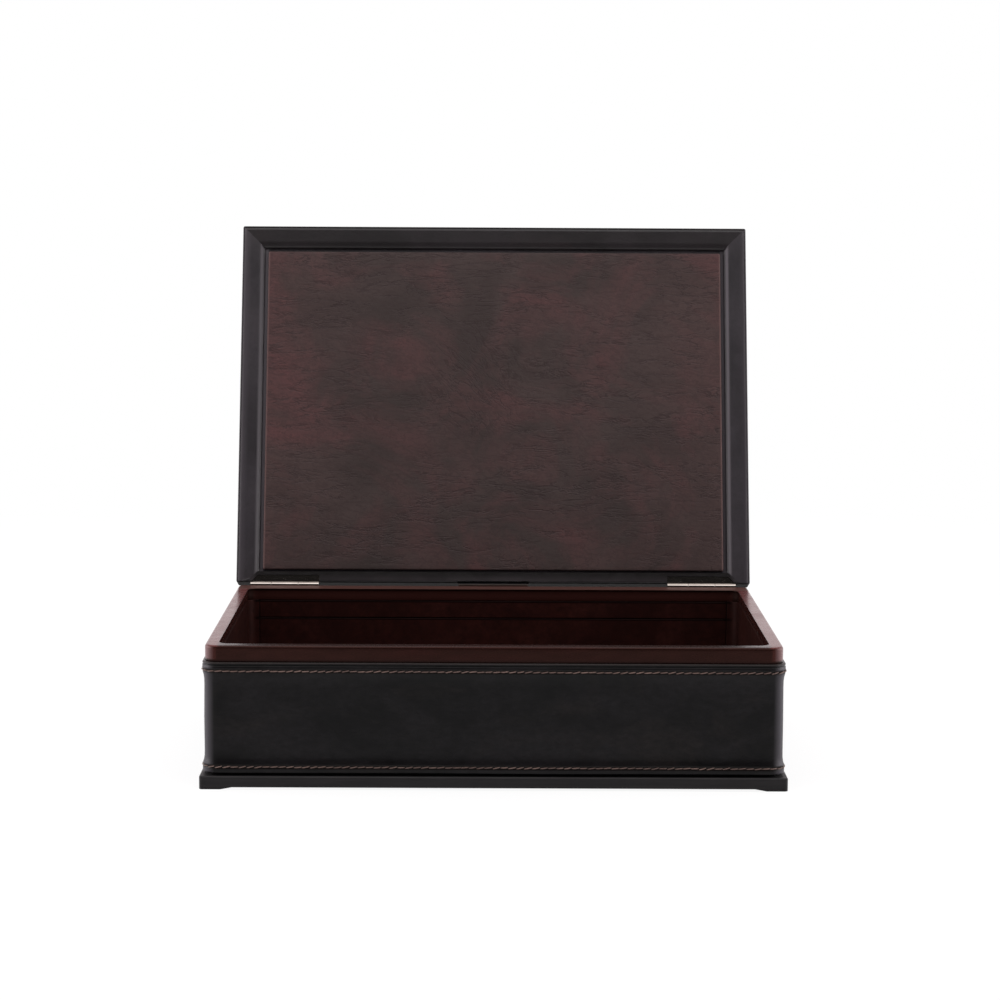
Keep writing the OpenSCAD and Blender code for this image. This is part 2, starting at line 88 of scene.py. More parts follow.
rim_low, rim_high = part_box("rim_cover")
band_low, band_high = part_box("leather_band")
upper_hem_low, upper_hem_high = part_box("upper_hem")
lower_hem_low, lower_hem_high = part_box("lower_hem")
base_low, base_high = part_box("base_board")
CORNER_R = 8 * MM
WELL_R = 8 * MM
LEATHER_T = 0.8 * MM
RUNNING_GAP = 0.3 * MM


# Outlines and lofts

SIDE_STEPS = (80, 58)


def rounded_outline(low, high, radius, z, arc_steps=10, back_radius=None):
    """Points of a level rounded rectangle at height z, anticlockwise from its front left corner."""
    back = radius if back_radius is None else back_radius
    corners = [
        (Vector((low[0] + radius, low[1] + radius, z)), radius, math.pi),
        (Vector((high[0] - radius, low[1] + radius, z)), radius, 1.5 * math.pi),
        (Vector((high[0] - back, high[1] - back, z)), back, 0.0),
        (Vector((low[0] + back, high[1] - back, z)), back, 0.5 * math.pi),
    ]
    points = []
    for i, (centre, round_r, start) in enumerate(corners):
        for step in range(arc_steps + 1):
            a = start + 0.5 * math.pi * step / arc_steps
            points.append(centre + round_r * Vector((math.cos(a), math.sin(a), 0)))
        after, after_r, begin = corners[(i + 1) % 4]
        end = after + after_r * Vector((math.cos(begin), math.sin(begin), 0))
        runs = SIDE_STEPS[i % 2]
        first = points[-1]
        points.extend(first.lerp(end, k / runs) for k in range(1, runs))
    return points


def new_object(name, verts, faces, material, body, replaced=()):
    """A smooth shaded mesh object that rides on a body and stands for some nodes."""
    mesh = bpy.data.meshes.new(name)
    mesh.from_pydata([tuple(v) for v in verts], [], faces)
    mesh.update()
    piece = bpy.data.objects.new(name, mesh)
    bpy.context.scene.collection.objects.link(piece)
    mesh.materials.append(material)
    for polygon in mesh.polygons:
        polygon.use_smooth = True
    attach(piece, body)
    if replaced:
        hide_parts(*replaced)
    return piece


def loft(name, loops, material, body, replaced=(), capped=False):
    """A skin over closed loops of as many points each: a ring, or a solid with its first and last loops capped."""
    count = len(loops[0])
    verts = [p for loop in loops for p in loop]
    bands = len(loops) - 1 if capped else len(loops)
    faces = []
    for i in range(bands):
        a = i * count
        b = (i + 1) % len(loops) * count
        for k in range(count):
            n = (k + 1) % count
            faces.append((a + k, a + n, b + n, b + k))
    if capped:
        faces.append(tuple(range(count))[::-1])
        faces.append(tuple(range((len(loops) - 1) * count, len(loops) * count)))
    piece = new_object(name, verts, faces, material, body, replaced)
    face_outward(piece)
    return piece


def face_outward(piece):
    """Turns a closed mesh's faces outward."""
    work = bmesh.new()
    work.from_mesh(piece.data)
    bmesh.ops.recalc_face_normals(work, faces=work.faces)
    work.to_mesh(piece.data)
    work.free()


def arc(centre, radius, start, end, steps=5):
    """Points of an arc in a section, as (across, up), with its angles in degrees."""
    points = []
    for i in range(steps + 1):
        a = math.radians(start + (end - start) * i / steps)
        points.append((centre[0] + radius * math.cos(a), centre[1] + radius * math.sin(a)))
    return points


def applied(piece):
    """Bakes a piece's modifiers into its mesh."""
    graph = bpy.context.evaluated_depsgraph_get()
    mesh = bpy.data.meshes.new_from_object(piece.evaluated_get(graph))
    piece.modifiers.clear()
    piece.data = mesh
    return piece


def softened(node, width, material, top_width=None, segments=3):
    """A copy of a node's solid with its edges rounded to width, or to top_width along its level top edges."""
    source = frame["nodes"][node]
    piece = bpy.data.objects.new(node + "_finished", source.data.copy())
    bpy.context.scene.collection.objects.link(piece)
    widest = top_width or width
    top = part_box(node)[1].z - 0.01 * MM
    work = bmesh.new()
    work.from_mesh(piece.data)
    bmesh.ops.remove_doubles(work, verts=work.verts, dist=0.002 * MM)
    bmesh.ops.dissolve_limit(work, angle_limit=math.radians(0.5), verts=work.verts, edges=work.edges)
    weight = work.edges.layers.float.new("bevel_weight_edge")
    for edge in work.edges:
        if edge.calc_face_angle(0.0) > math.radians(30):
            edge[weight] = 1.0 if all(v.co.z > top for v in edge.verts) else width / widest
    for face in work.faces:
        face.smooth = True
    work.to_mesh(piece.data)
    work.free()
    bevel = piece.modifiers.new("edges", "BEVEL")
    bevel.width = widest
    bevel.segments = segments
    bevel.limit_method = "WEIGHT"
    piece.modifiers.new("flat_faces", "WEIGHTED_NORMAL")
    applied(piece)
    piece.data.materials.clear()
    piece.data.materials.append(material)
    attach(piece, frame["nodes"][node]["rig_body"])
    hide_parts(node)
    return piece


# Materials

class Nodes:
    """Short calls that build the node tree of a material or of the world."""

    def __init__(self, owner, place="Object"):
        owner.use_nodes = True
        self.owner = owner
        self.tree = owner.node_tree
        self.place = self.add("ShaderNodeTexCoord").outputs[place]

    def add(self, kind, **settings):
        node = self.tree.nodes.new(kind)
        for key, value in settings.items():
            setattr(node, key, value)
        return node

    def link(self, out, into):
        self.tree.links.new(out, into)

    def stretched(self, lengths, turn=0.0, place=None):
        """The place, drawn out by lengths along axes that are turned about Y by turn degrees."""
        node = self.add("ShaderNodeMapping", vector_type="TEXTURE")
        self.link(place or self.place, node.inputs["Vector"])
        node.inputs["Scale"].default_value = lengths
        node.inputs["Rotation"].default_value = (0, math.radians(turn), 0)
        return node.outputs["Vector"]

    def swayed(self, scale, amount):
        """The place, shifted a little by slow noise, so that lines across it aren't straight."""
        shift = self.add("ShaderNodeTexNoise")
        self.link(self.place, shift.inputs["Vector"])
        shift.inputs["Scale"].default_value = scale
        node = self.add("ShaderNodeVectorMath", operation="MULTIPLY_ADD")
        self.link(shift.outputs["Color"], node.inputs[0])
        node.inputs[1].default_value = (amount, amount, amount)
        self.link(self.place, node.inputs[2])
        return node.outputs["Vector"]

    def noise(self, vector, scale, detail=4.0, rough=0.55, warp=0.0):
        node = self.add("ShaderNodeTexNoise")
        self.link(vector, node.inputs["Vector"])
        node.inputs["Scale"].default_value = scale
        node.inputs["Detail"].default_value = detail
        node.inputs["Roughness"].default_value = rough
        node.inputs["Distortion"].default_value = warp
        return node.outputs["Fac"]

    def cells(self, vector, scale, feature="F1"):
        node = self.add("ShaderNodeTexVoronoi", feature=feature)
        self.link(vector, node.inputs["Vector"])
        node.inputs["Scale"].default_value = scale
        return node.outputs["Distance"]

    def lines(self, vector, scale, width, warp=0.6):
        """Nought along wandering thin lines, one away from them."""
        ridge = self.math("ABSOLUTE", self.math("SUBTRACT", self.noise(vector, scale, 5.0, 0.6, warp), 0.5))
        return self.spread(ridge, 0.0, width)

    def across(self, axis):
        """One coordinate of the place."""
        split = self.add("ShaderNodeSeparateXYZ")
        self.link(self.place, split.inputs[0])
        return split.outputs[axis]

    def distance(self, point):
        """How far the place on the object is from a point."""
        node = self.add("ShaderNodeVectorMath", operation="DISTANCE")
        self.link(self.place, node.inputs[0])
        node.inputs[1].default_value = point
        return node.outputs["Value"]

    def spread(self, value, low, high, to_low=0.0, to_high=1.0):
        node = self.add("ShaderNodeMapRange")
        self.link(value, node.inputs["Value"])
        node.inputs["From Min"].default_value = low
        node.inputs["From Max"].default_value = high
        node.inputs["To Min"].default_value = to_low
        node.inputs["To Max"].default_value = to_high
        return node.outputs["Result"]

    def math(self, operation, a, b=0.0):
        node = self.add("ShaderNodeMath", operation=operation)
        for socket, value in zip(node.inputs, (a, b)):
            if isinstance(value, (int, float)):
                socket.default_value = value
            else:
                self.link(value, socket)
        return node.outputs["Value"]

    def blend(self, factor, a, b, mode="MIX"):
        node = self.add("ShaderNodeMix", data_type="RGBA", blend_type=mode)
        for socket, value in ((node.inputs[0], factor), (node.inputs[6], a), (node.inputs[7], b)):
            if isinstance(value, (int, float)):
                socket.default_value = value
            elif isinstance(value, tuple):
                socket.default_value = (*value, 1.0)
            else:
                self.link(value, socket)
        return node.outputs[2]

    def bump(self, height, distance, strength=1.0, under=None):
        node = self.add("ShaderNodeBump")
        self.link(height, node.inputs["Height"])
        node.inputs["Distance"].default_value = distance
        node.inputs["Strength"].default_value = strength
        if under is not None:
            self.link(under, node.inputs["Normal"])
        return node.outputs["Normal"]

    def seen(self, *kinds):
        """One for rays of these kinds, and nought for the rest."""
        paths = self.add("ShaderNodeLightPath")
        found = 0.0
        for kind in kinds:
            found = self.math("MAXIMUM", found, paths.outputs[f"Is {kind} Ray"])
        return found

    def finish(self, colour, roughness, normal, specular=0.5, metallic=0.0, tint=(1.0, 1.0, 1.0)):
        """Joins the material's colour, roughness and relief to its shader."""
        shader = self.tree.nodes["Principled BSDF"]
        self.link(colour, shader.inputs["Base Color"])
        if isinstance(roughness, (int, float)):
            shader.inputs["Roughness"].default_value = roughness
        else:
            self.link(roughness, shader.inputs["Roughness"])
        if normal is not None:
            self.link(normal, shader.inputs["Normal"])
        shader.inputs["Specular IOR Level"].default_value = specular
        shader.inputs["Specular Tint"].default_value = (*tint, 1.0)
        shader.inputs["Metallic"].default_value = metallic
        return self.owner


def new_material(name):
    return Nodes(bpy.data.materials.new(name))


def srgb(red, green, blue):
    """A colour given as it looks, from 0 to 255, turned into the linear values that shaders take."""
    return tuple(((c / 255 + 0.055) / 1.055) ** 2.4 if c > 10 else c / 255 / 12.92 for c in (red, green, blue))


def leather(name, dark, light, worn, specular, rough, cloud, lengths=(1.0, 1.0, 1.0), relief=1.0, mottle=0.5,
            tint=(1.0, 1.0, 1.0), zones=(), dull=None):
    """Dyed leather: cloudy colour between dark and light, worn patches, pores, fine wrinkles and creases.

    A zone is a colour for a part of it, such as painted shade along a seam or a painted highlight on an edge, and that
    part's limits: on each axis, the place where the colour begins and the place where it is full. Dull gives one such
    limit, past which it is rougher.
    """
    n = new_material(name)
    place = n.stretched(lengths)
    clouds = n.noise(place, cloud, 6.0, 0.62, 0.5)
    fine = n.noise(place, cloud * 9, 6.0, 0.65)
    colour = n.blend(n.spread(clouds, 0.40, 0.60), dark, light)
    patches = n.spread(n.noise(place, cloud * 0.6, 4.0, 0.6, 1.4), 0.52, 0.70)
    colour = n.blend(n.math("MULTIPLY", patches, 0.7), colour, worn)
    colour = n.blend(n.spread(fine, 0.35, 0.65, 0.0, mottle), colour, tuple(c * 0.5 for c in dark))
    for tone, limits in zones:
        share = 1.0
        for axis, outside, inside in limits:
            share = n.math("MULTIPLY", share, n.spread(n.across(axis), outside, inside))
        colour = n.blend(share, colour, tone)
    pores = n.spread(n.cells(n.place, 1400.0), 0.0, 0.6)
    normal = n.bump(n.lines(place, 60.0, 0.06, 1.5), 0.06 * MM * relief, 0.35)
    normal = n.bump(n.noise(place, 320.0, 8.0, 0.62, 0.8), 0.16 * MM * relief, 0.5, normal)
    normal = n.bump(pores, 0.05 * MM * relief, 0.4, normal)
    roughness = n.spread(fine, 0.3, 0.7, *rough)
    if dull:
        roughness = n.math("ADD", roughness, n.spread(n.across(dull[0]), *dull[1:], 0.0, 0.22))
    return n.finish(colour, roughness, normal, specular, tint=tint)


panel_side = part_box("lid_panel")[1].x


def panel_leather():
    """Soft brown leather: greyer in its middle, with level wrinkles and a knot of slanted creases, painted darker as
    shade, and a painted highlight along its rolled edge.
    """
    n = new_material("brown_panel_leather")
    swayed = n.swayed(11.0, 14 * MM)
    drawn = n.stretched((4.5, 1.0, 1.0), place=swayed)
    clouds = n.noise(n.place, 19.0, 6.0, 0.6, 0.8)
    colour = n.blend(n.spread(clouds, 0.38, 0.62), srgb(46, 40, 38), srgb(58, 49, 47))
    sides = n.spread(n.math("ABSOLUTE", n.across("X")), 0.08, 0.15, 0.0, 0.32)
    red = n.math("ADD", sides, n.spread(n.noise(n.place, 15.0, 6.0, 0.62, 1.2), 0.44, 0.66))
    colour = n.blend(n.spread(red, 0.0, 1.3), colour, srgb(75, 49, 49))
    some = n.spread(n.noise(n.place, 21.0, 3.0, 0.5, 0.5), 0.36, 0.52)
    broken = n.spread(n.noise(drawn, 90.0, 3.0), 0.44, 0.54)
    some = n.math("MULTIPLY", some, broken)
    level = n.math("MAXIMUM", n.lines(drawn, 190.0, 0.04), n.math("SUBTRACT", 1.0, some))
    slanted = n.stretched((1.0, 1.0, 3.4), -42.0, swayed)
    away = n.distance(opened((-12 * MM, pivot.y - 134 * MM, pivot.z)))
    spot = n.spread(n.math("ADD", away, n.spread(clouds, 0.3, 0.7, -12 * MM, 12 * MM)), 14 * MM, 38 * MM)
    knots = n.math("MAXIMUM", n.lines(slanted, 170.0, 0.04), spot)
    creases = n.math("MULTIPLY", level, knots)
    # painted shade: the creases, and below them faint wrinkles, are darkened in colour
    colour = n.blend(n.spread(creases, 0.0, 1.0, 0.7, 0.0), colour, srgb(30, 20, 20))
    faint = n.lines(n.stretched((2.5, 1.0, 1.0), 12.0, swayed), 260.0, 0.05)
    colour = n.blend(n.spread(faint, 0.0, 1.0, 0.4, 0.0), colour, srgb(34, 25, 25))
    weave = n.noise(n.place, 700.0, 6.0, 0.65, 0.4)
    colour = n.blend(n.spread(weave, 0.35, 0.65, 0.0, 0.35), colour, srgb(46, 36, 36))
    # painted highlight along the panel's rolled edge
    rolled = n.spread(n.math("ABSOLUTE", n.across("X")), panel_side - 1.3 * MM, panel_side - 0.6 * MM)
    colour = n.blend(n.math("MULTIPLY", rolled, 0.85), colour, srgb(84, 64, 62))
    normal = n.bump(creases, 0.3 * MM, 0.55)
    normal = n.bump(n.noise(drawn, 420.0, 6.0, 0.6), 0.2 * MM, 0.5, normal)
    normal = n.bump(weave, 0.1 * MM, 0.5, normal)
    return n.finish(colour, n.spread(weave, 0.3, 0.7, 0.42, 0.55), normal, 0.25,
                    tint=(1.0, 0.85, 0.85))


def level_zone(tone, middle, reach):
    """A level line of another tone in the leather, at height middle."""
    return tone, (("Z", middle - reach, middle - 0.4 * reach), ("Z", middle + reach, middle + 0.4 * reach))


def upright_zone(tone, middle, reach):
    """An upright line of another tone in the leather, at middle across the box."""
    return tone, (("X", middle - reach, middle - 0.4 * reach), ("X", middle + reach, middle + 0.4 * reach))


upper_seam = (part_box("upper_stitching")[0].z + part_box("upper_stitching")[1].z) / 2
lower_seam = (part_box("lower_stitching")[0].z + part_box("lower_stitching")[1].z) / 2
hem_lip = band_high.z
# painted highlights on the band's rounded upright corners, brighter at the front corners than at the back
painted_corner_highlights = [(tone, [("X", side * (rim_high.x - 5.5 * MM), side * (rim_high.x - 0.2 * MM)),
                        ("Y", begins, full)])
                for side in (-1, 1)
                for tone, begins, full in ((srgb(63, 60, 65), rim_low.y + 8 * MM, rim_low.y + 3 * MM),
                                           (srgb(40, 38, 40), rim_high.y - 8 * MM, rim_high.y - 3 * MM))]
black_band = leather("black_band_leather", srgb(5, 4, 5), srgb(18, 16, 18), srgb(23, 19, 18), 0.155,
                     (0.30, 0.40), 40.0, (1.7, 1.7, 1.0), mottle=0.6,
                     zones=painted_corner_highlights + [
                            # painted shade along both stitch lines, where shade falls in the stitch grooves
                            level_zone(srgb(13, 8, 6), upper_seam, 1.6 * MM),
                            level_zone(srgb(13, 8, 6), lower_seam, 1.6 * MM),
                            # painted shade in the groove under the band's top lip
                            level_zone(srgb(8, 7, 7), hem_lip - 1.75 * MM, 0.5 * MM),
                            # painted highlight on the band's top lip
                            (srgb(31, 27, 26), [("Z", hem_lip - 1.1 * MM, hem_lip - 0.7 * MM)])])

lid_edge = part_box("lid_border_right")[1].x
bevel_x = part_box("lid_border_right")[0].x + 1.6 * MM
hinge_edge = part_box("lid_border_back")[0].z
panel_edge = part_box("lid_border_back")[1].z
black_side_border = leather("black_side_border_leather", srgb(34, 31, 34), srgb(48, 44, 48), srgb(51, 46, 49), 0.4,
                    (0.28, 0.38), 22.0, relief=0.5, mottle=0.4,
                    # painted highlights along the lid's outer side edges, brighter at the left
                    zones=[(srgb(55, 51, 55), [("X", -lid_edge + 5 * MM, -lid_edge + 1 * MM)]),
                           (srgb(46, 42, 46), [("X", lid_edge - 3.5 * MM, lid_edge - 1 * MM)]),
                           # painted highlights on the side bevels, brighter at the right
                           upright_zone(srgb(70, 65, 70), bevel_x, 1.2 * MM),
                           upright_zone(srgb(58, 54, 58), -bevel_x, 1.2 * MM),
                           # painted light in the reveals beside the panel, lifting their shade, more at the left
                           upright_zone(srgb(52, 48, 52), panel_side + 1 * MM, 1.6 * MM),
                           upright_zone(srgb(70, 66, 70), -panel_side - 1 * MM, 1.6 * MM)])
black_cover = leather("black_cover_leather", srgb(12, 11, 12), srgb(31, 28, 30), srgb(35, 31, 31), 0.25,
                      (0.30, 0.40), 26.0, relief=0.8, mottle=0.45,
                      # painted highlights along the lid's side edges
                      zones=[(srgb(52, 48, 52), [("X", side * (lid_edge - 2 * MM), side * (lid_edge + 1 * MM))])
                             for side in (-1, 1)])
# painted shade: a darker copy of the border leather for the front border, which the lamps light more than the sides
front_border_painted_darker = leather("front_border_painted_darker_leather", srgb(24, 21, 22), srgb(32, 28, 30), srgb(35, 30, 31), 0.3,
                       (0.28, 0.38), 22.0, relief=0.5, mottle=0.4)
black_hinge_border = leather("black_hinge_border_leather", srgb(34, 30, 32), srgb(46, 42, 44), srgb(50, 45, 47), 0.4,
                             (0.28, 0.38), 22.0, relief=0.5, mottle=0.4,
                             # painted shade on the back border, darker towards the panel's lower edge
                             zones=[(srgb(14, 11, 11), [("Z", hinge_edge + 2 * MM, panel_edge - 1 * MM)])])

rim_top = rim_high.z
rim_back = rim_high.y
well_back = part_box("wall_back")[0].y
well_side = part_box("wall_right")[0].x
# the rim's top, where painted highlights go
painted_top_light = [("Z", rim_top - 1 * MM, rim_top - 0.3 * MM)]
# the rim's inner faces just under its top, painted lighter to lift their shade
inner_top = [("Z", rim_top - 1 * MM, rim_top - 1.6 * MM)]
rim_corner = [("Y", rim_low.y + 9 * MM, rim_low.y + 5 * MM), ("Z", rim_top + 0.1 * MM, rim_top - 1.2 * MM)]
brown_rim = leather("brown_rim_leather", srgb(20, 8, 5), srgb(30, 14, 11), srgb(38, 13, 12), 0.2,
                    (0.22, 0.31), 30.0, (3.0, 3.0, 1.0), 0.3, 0.45, (1.0, 0.5, 0.45),
                    # painted highlights on the side rims' tops by the well, and on the back rim's top
                    [(srgb(80, 40, 38), painted_top_light + [("X", well_side - 3.5 * MM, well_side - 1.2 * MM)]),
                     (srgb(80, 40, 38), painted_top_light + [("X", -well_side + 3.5 * MM, -well_side + 1.2 * MM)]),
                     (srgb(66, 43, 38), painted_top_light + [("Y", rim_back - 18 * MM, rim_back - 15 * MM)]),
                     # painted light on the rim's inner faces just under its top, lifting their shade
                     (srgb(44, 21, 18), inner_top + [("Y", well_back - 2 * MM, well_back - 1.2 * MM),
                                                     ("Y", well_back + 1.2 * MM, well_back + 0.4 * MM)]),
                     (srgb(44, 21, 18), inner_top + [("X", well_side - 2 * MM, well_side - 1.2 * MM),
                                                     ("X", well_side + 1.2 * MM, well_side + 0.4 * MM)]),
                     (srgb(44, 21, 18), inner_top + [("X", -well_side + 2 * MM, -well_side + 1.2 * MM),
                                                     ("X", -well_side - 1.2 * MM, -well_side - 0.4 * MM)]),
                     # painted highlights on the rim's rounded front corners
                     (srgb(114, 90, 91), rim_corner + [("X", rim_high.x - 5.5 * MM, rim_high.x - 0.5 * MM)]),
                     (srgb(114, 90, 91), rim_corner + [("X", -rim_high.x + 5.5 * MM, -rim_high.x + 0.5 * MM)]),
                     # painted shade along the rim's foot, just above the band's lip
                     level_zone(srgb(11, 4, 3), hem_lip + 0.3 * MM, 1.5 * MM)],
                    ("Y", rim_back - 19 * MM, rim_back - 15 * MM))
tab_leather = leather("tab_leather", srgb(46, 37, 34), srgb(56, 46, 42), srgb(60, 49, 45), 0.2, (0.4, 0.5), 30.0,
                      relief=0.4, mottle=0.3)
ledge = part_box("lining_back_upper")[1].z
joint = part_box("lining_back_lower")[1].z
back_lining = ("Y", well_back - 2 * MM, well_back - 1 * MM)
brown_lining = leather("brown_lining_leather", srgb(34, 15, 13), srgb(44, 20, 17), srgb(50, 25, 22), 0.14,
                       (0.36, 0.48), 24.0, relief=0.6, mottle=0.7, tint=(1.0, 0.6, 0.55),
                       # painted shade on the back lining: a dark line along its top edge under the rim, and another at
                       # the joint of its two pieces
                       zones=[(srgb(6, 1, 1), [back_lining, ("Z", ledge - 1.3 * MM, ledge - 0.8 * MM)]),
                              (srgb(6, 1, 1), [back_lining, ("Z", joint - 1.2 * MM, joint - 0.7 * MM),
                                               ("Z", joint + 1.0 * MM, joint + 0.5 * MM)])])
brown_panel = panel_leather()


def stained_wood(name, dark, light, specular, grain_axis=0):
    """Stained wood with a fine grain along one axis."""
    n = new_material(name)
    lengths = [1.0, 1.0, 1.0]
    lengths[grain_axis] = 16.0
    streaks = n.noise(n.stretched(lengths), 420.0, 6.0, 0.6, 0.3)
    clouds = n.noise(n.place, 30.0, 3.0)
    colour = n.blend(n.spread(streaks, 0.3, 0.7), dark, light)
    colour = n.blend(n.spread(clouds, 0.3, 0.7, 0.0, 0.3), colour, dark)
    normal = n.bump(streaks, 0.08 * MM, 0.5)
    return n.finish(colour, n.spread(clouds, 0.3, 0.7, 0.42, 0.56), normal, specular)


plinth_x = stained_wood("black_wood_across", srgb(19, 18, 19), srgb(29, 27, 28), 0.2, 0)
plinth_y = stained_wood("black_wood_deep", srgb(19, 18, 19), srgb(29, 27, 28), 0.2, 1)
inner_wood = stained_wood("dark_inner_wood", srgb(20, 9, 7), srgb(30, 14, 11), 0.1, 0)


def lid_gap_shade_material():
    """The lid's back edge face along the hinges, dull and near black: painted shade for the dark gap between the lid
    and the rim.
    """
    n = new_material("lid_gap_shade_black")
    fibres = n.noise(n.place, 600.0, 6.0, 0.7, 0.8)
    colour = n.blend(n.spread(fibres, 0.3, 0.7), srgb(13, 11, 11), srgb(27, 24, 24))
    return n.finish(colour, 0.8, n.bump(fibres, 0.1 * MM, 0.5), 0.1)


def felt_material():
    n = new_material("black_felt")
    fibres = n.noise(n.place, 900.0, 8.0, 0.7, 1.0)
    colour = n.blend(n.spread(fibres, 0.3, 0.7), srgb(16, 16, 17), srgb(34, 33, 34))
    return n.finish(colour, 0.95, n.bump(fibres, 0.4 * MM, 0.8), 0.2)


def thread_material():
    n = new_material("waxed_thread")
    strands = n.noise(n.place, 2600.0, 4.0, 0.6, 0.6)
    tint = n.noise(n.place, 70.0, 2.0)
    colour = n.blend(n.spread(tint, 0.35, 0.65), srgb(80, 63, 58), srgb(110, 90, 83))
    colour = n.blend(n.spread(strands, 0.3, 0.7, 0.0, 0.45), colour, srgb(62, 50, 45))
    return n.finish(colour, 0.6, n.bump(strands, 0.12 * MM, 0.6), 0.3)


def nickel_material():
    n = new_material("polished_nickel")
    scratches = n.noise(n.stretched((20.0, 1.0, 1.0)), 2400.0, 4.0, 0.6)
    dull = n.noise(n.place, 220.0, 4.0)
    colour = n.blend(n.spread(dull, 0.3, 0.7), srgb(172, 165, 158), srgb(156, 149, 142))
    return n.finish(colour, n.spread(scratches, 0.3, 0.7, 0.08, 0.16), n.bump(scratches, 0.004 * MM, 0.2),
                    0.5, 1.0)


lid_gap_shade = lid_gap_shade_material()
felt = felt_material()
thread = thread_material()
nickel = nickel_material()


# The case: brown rim, black band, stitches, plinth and lining

wall_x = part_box("wall_right")[0].x
front_wall_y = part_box("wall_front")[1].y
back_wall_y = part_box("wall_back")[0].y
well_low = Vector((-wall_x + LEATHER_T, front_wall_y + LEATHER_T, 0))
well_high = Vector((wall_x - LEATHER_T, back_wall_y - LEATHER_T, 0))


def case_loop(out, z, back_radius=CORNER_R):
    """The case's outline, grown by out, at height z."""
    low = (rim_low.x - out, rim_low.y - out)
    high = (rim_high.x + out, rim_high.y + out)
    return rounded_outline(low, high, CORNER_R + out, z, back_radius=back_radius + out)


def well_loop(out, z):
    """The well's outline at the rim, grown outward by out, at height z."""
    low = (well_low.x - out, well_low.y - out)
    high = (well_high.x + out, well_high.y + out)
    return rounded_outline(low, high, WELL_R + out, z)


def make_rim():
    """Brown leather that wraps the rim, with rounded edges and a level top."""
    top = rim_high.z
    edge_r = 1.5 * MM
    tuck = 1.5 * MM
    drawn_in = 0.3 * MM
    back_r = 3 * MM
    outside = [(-drawn_in, rim_low.z - tuck), (-drawn_in, rim_low.z + 0.2 * MM)]
    outside += [(-0.4 * drawn_in, rim_low.z + 1.0 * MM), (0, rim_low.z + 2.2 * MM), (0, top - 2 * edge_r)]
    outside += arc((-edge_r, top - edge_r), edge_r, 0, 90)
    inside = arc((-edge_r, top - edge_r), edge_r, 90, 0)
    inside += [(0, top - 3 * edge_r), (0, rim_high.z - 7.0 * MM), (0.2 * MM, rim_high.z - 7.4 * MM)]
    inside += [(LEATHER_T, rim_high.z - 7.4 * MM), (LEATHER_T, top - LEATHER_T)]
    loops = [case_loop(out, z, back_r) for out, z in outside]
    loops += [well_loop(out, z) for out, z in inside]
    loops += [case_loop(-LEATHER_T, z, back_r) for z in (top - LEATHER_T, rim_low.z - tuck)]
    piece = loft("rim_leather", loops, brown_rim, "case", ["rim_cover"])
    carve(piece, knuckle_seats())


def knuckle_seats():
    """Rods that make room for both hinges' knuckles, in the rim and in the shut or open lid alike."""
    seats = []
    for side in ("left", "right"):
        low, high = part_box(side + "_hinge_case_leaf")
        radius = high.z - pivot.z + RUNNING_GAP
        middle = Vector(((low.x + high.x) / 2, pivot.y, pivot.z))
        seats.append(rod(side + "_knuckle_seat", middle, radius, high.x - low.x + 2 * RUNNING_GAP))
    return seats


def rod(name, middle, radius, length, sides=48):
    """A plain rod along X, used only to cut with."""
    points = [(0, radius * math.cos(a), radius * math.sin(a))
              for a in (2 * math.pi * k / sides for k in range(sides))]
    ends = [middle + Vector((end * length / 2, 0, 0)) for end in (-1, 1)]
    return prism(name, [Vector(p) + ends[0] for p in points], [Vector(p) + ends[1] for p in points])


def prism(name, first, last):
    """A closed solid between two outlines of as many points, used only to cut with."""
    count = len(first)
    faces = [tuple(range(count)), tuple(range(2 * count - 1, count - 1, -1))]
    faces += [(k, (k + 1) % count, (k + 1) % count + count, k + count) for k in range(count)]
    mesh = bpy.data.meshes.new(name)
    mesh.from_pydata([tuple(p) for p in first + last], [], faces)
    cutter = bpy.data.objects.new(name, mesh)
    bpy.context.scene.collection.objects.link(cutter)
    face_outward(cutter)
    return cutter


def carve(piece, cutters):
    """Cuts the cutters out of a closed piece, and removes them."""
    for cutter in cutters:
        cutting = piece.modifiers.new("seat", "BOOLEAN")
        cutting.operation = "DIFFERENCE"
        cutting.solver = "EXACT"
        cutting.object = cutter
    applied(piece)
    piece.data.set_sharp_from_angle(angle=math.radians(40))
    for cutter in cutters:
        bpy.data.objects.remove(cutter)


